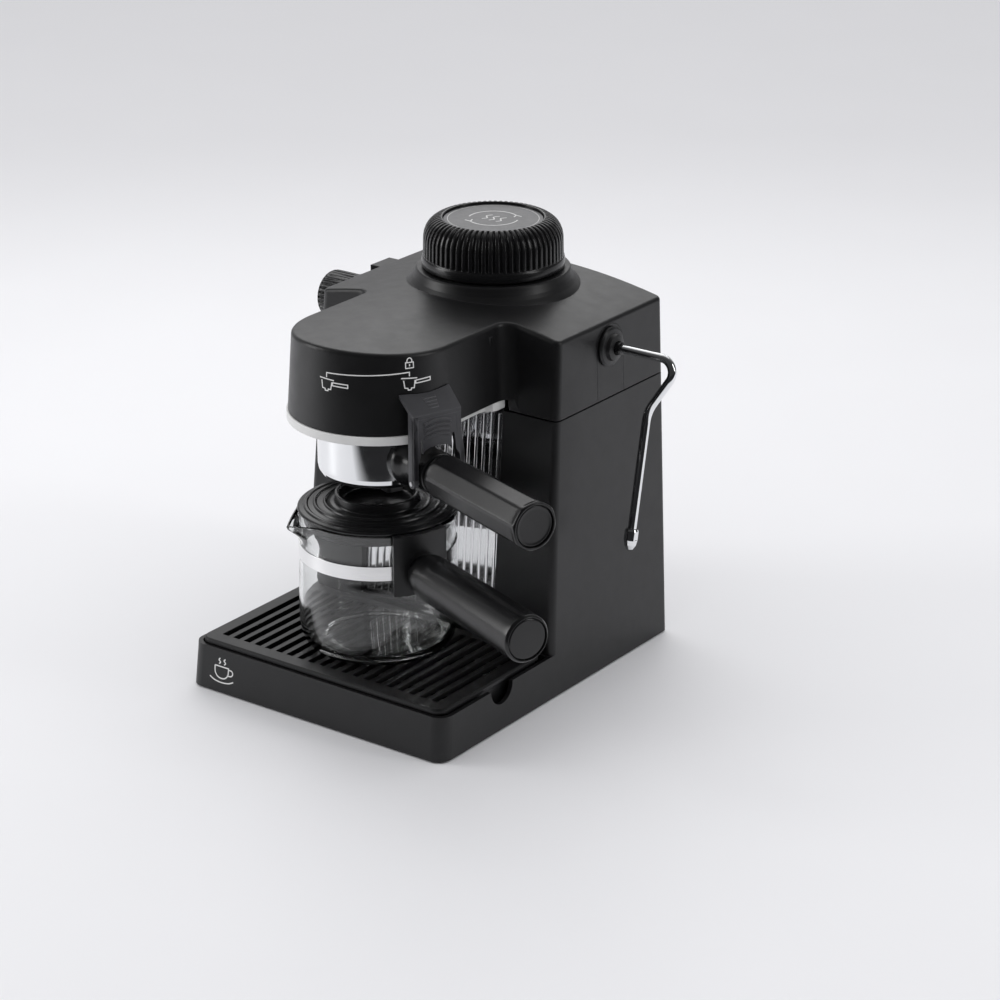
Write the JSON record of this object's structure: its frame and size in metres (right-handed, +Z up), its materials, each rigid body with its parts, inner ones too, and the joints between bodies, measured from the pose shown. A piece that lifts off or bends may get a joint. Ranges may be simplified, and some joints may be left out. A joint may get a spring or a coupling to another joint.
{
  "type": "espresso machine",
  "caption": "Countertop steam espresso machine with screw-capped boiler, locking filter holder, glass carafe, drip grid, steam knob and swivelling steam wand.",
  "frame": {"origin": "on the table under the centre of the casing's rectangular footprint", "axes": "+X to the right of a user who faces the machine, -Y towards that user (the front), +Z up"},
  "size_m": [0.2656, 0.2386, 0.2576],
  "materials": {
    "casing_black": "fine satin texture",
    "gloss_black": "gloss moulded",
    "grip_black": "semi-gloss moulded",
    "clip_grey": "satin moulded",
    "plate_grey": "satin moulded",
    "label_grey": "printed foil",
    "rubber_black": "matt",
    "seal_rubber": "matt silicone",
    "steel_sheet": "bright rolled",
    "steel_band": "polished strip",
    "steel_screw": "zinc plated",
    "chrome": "polished",
    "cast_alloy": "as cast",
    "brass": "machined",
    "clear_glass": "clear",
    "lamp_red": "translucent",
    "wire_white": "silicone sleeve",
    "block_white": "moulded"
  },
  "bodies": {
    "root": {"housing": "casing_black", "rear_cover": "casing_black", "base_plate": "casing_black", "feet": "rubber_black", "casing_screws": "steel_screw", "head_cover": "casing_black", "wand_insert": "casing_black", "brew_head_plate": "plate_grey", "plate_screws": "steel_screw", "ribbed_panel": "steel_sheet", "switch_housing": "casing_black", "indicator_lens": "lamp_red", "boiler": "cast_alloy", "boiler_screws": "steel_screw", "heating_element": "steel_screw", "thermostat": "steel_screw", "thermal_fuse": "wire_white", "steam_valve": "brass", "steam_pipe": "steel_screw", "brew_pipe": "steel_screw", "group_casting": "cast_alloy", "group_gasket": "seal_rubber", "shower_screen": "steel_sheet", "shower_screw": "steel_screw", "terminal_block": "block_white", "wiring": "wire_white", "cord_gland": "casing_black", "wand_socket": "casing_black"},
    "switch_rocker": {"rocker": "grip_black"},
    "steam_control": {"steam_knob": "grip_black", "knob_face": "grip_black", "valve_spindle": "brass"},
    "wand": {"steam_tube": "chrome", "wand_ball": "gloss_black", "steam_nozzle": "chrome"},
    "cap_plug": {"cap_seal": "seal_rubber", "relief_plug": "block_white", "relief_spring": "steel_screw"},
    "cap": {"cap_shell": "grip_black", "cap_disc": "label_grey"},
    "relief": {"relief_valve": "brass"},
    "filter_holder": {"filter_bowl": "chrome", "filter_basket": "steel_sheet", "filter_spout": "casing_black", "handle_neck": "grip_black", "filter_handle": "grip_black", "handle_end_disc": "grip_black", "handle_bolt": "steel_screw", "retainer_pin": "steel_screw"},
    "retainer": {"basket_retainer": "clip_grey"},
    "grid": {"drip_grid": "casing_black", "drip_tray": "casing_black"},
    "carafe": {"carafe_glass": "clear_glass", "carafe_band": "steel_band", "carafe_bracket": "casing_black", "carafe_handle": "grip_black", "carafe_end_disc": "grip_black", "band_screw": "steel_screw"},
    "lid": {"carafe_lid": "grip_black"}
  },
  "joints": [
    {"name": "switch_press", "type": "hinge", "parent": "root", "child": "switch_rocker", "pos_m": [-0.094, 0.077, 0.1935], "axis": [0, 1, 0], "range_deg": [-10, 0]},
    {"name": "steam_open", "type": "hinge", "parent": "root", "child": "steam_control", "pos_m": [-0.0853, 0.0512, 0.1918], "axis": [-1, 0, 0], "range_deg": [0, 270]},
    {"name": "wand_swing", "type": "hinge", "parent": "root", "child": "wand", "pos_m": [0.0851, 0.0562, 0.1964], "axis": [1, 0, 0], "range_deg": [-40, 35]},
    {"name": "cap_lift", "type": "slide", "parent": "root", "child": "cap_plug", "axis": [0, 0, 1], "range_m": [0, 0.0046]},
    {"name": "cap_turn", "type": "hinge", "parent": "cap_plug", "child": "cap", "pos_m": [0, 0.0609, 0.229], "axis": [0, 0, 1], "range_deg": [0, 540]},
    {"name": "relief_lift", "type": "slide", "parent": "cap_plug", "child": "relief", "axis": [0, 0, 1], "range_m": [0, 0.0012], "stiffness_N_per_m": 800, "springref_m": -0.003, "deforming": ["relief_spring"]},
    {"name": "filter_turn", "type": "hinge", "parent": "root", "child": "filter_holder", "pos_m": [0, -0.0488, 0.17], "axis": [0, 0, 1], "range_deg": [-55, 0]},
    {"name": "retainer_lean", "type": "hinge", "parent": "filter_holder", "child": "retainer", "pos_m": [0.0546, -0.06867, 0.1479], "axis": [0.342, 0.9397, 0], "range_deg": [0, 12]},
    {"name": "grid_lift", "type": "slide", "parent": "root", "child": "grid", "axis": [0, 0, 1], "range_m": [0, 0.002]},
    {"name": "carafe_slide", "type": "slide", "parent": "grid", "child": "carafe", "axis": [0, -1, 0], "range_m": [0, 0.15]},
    {"name": "lid_turn", "type": "hinge", "parent": "carafe", "child": "lid", "pos_m": [0, -0.0513, 0.113], "axis": [0, 0, 1], "range_deg": [-45, 45]}
  ],
  "couplings": [
    {"joint": "cap_lift", "follows": "cap_turn", "m_per_rad": 0.00047746}
  ]
}
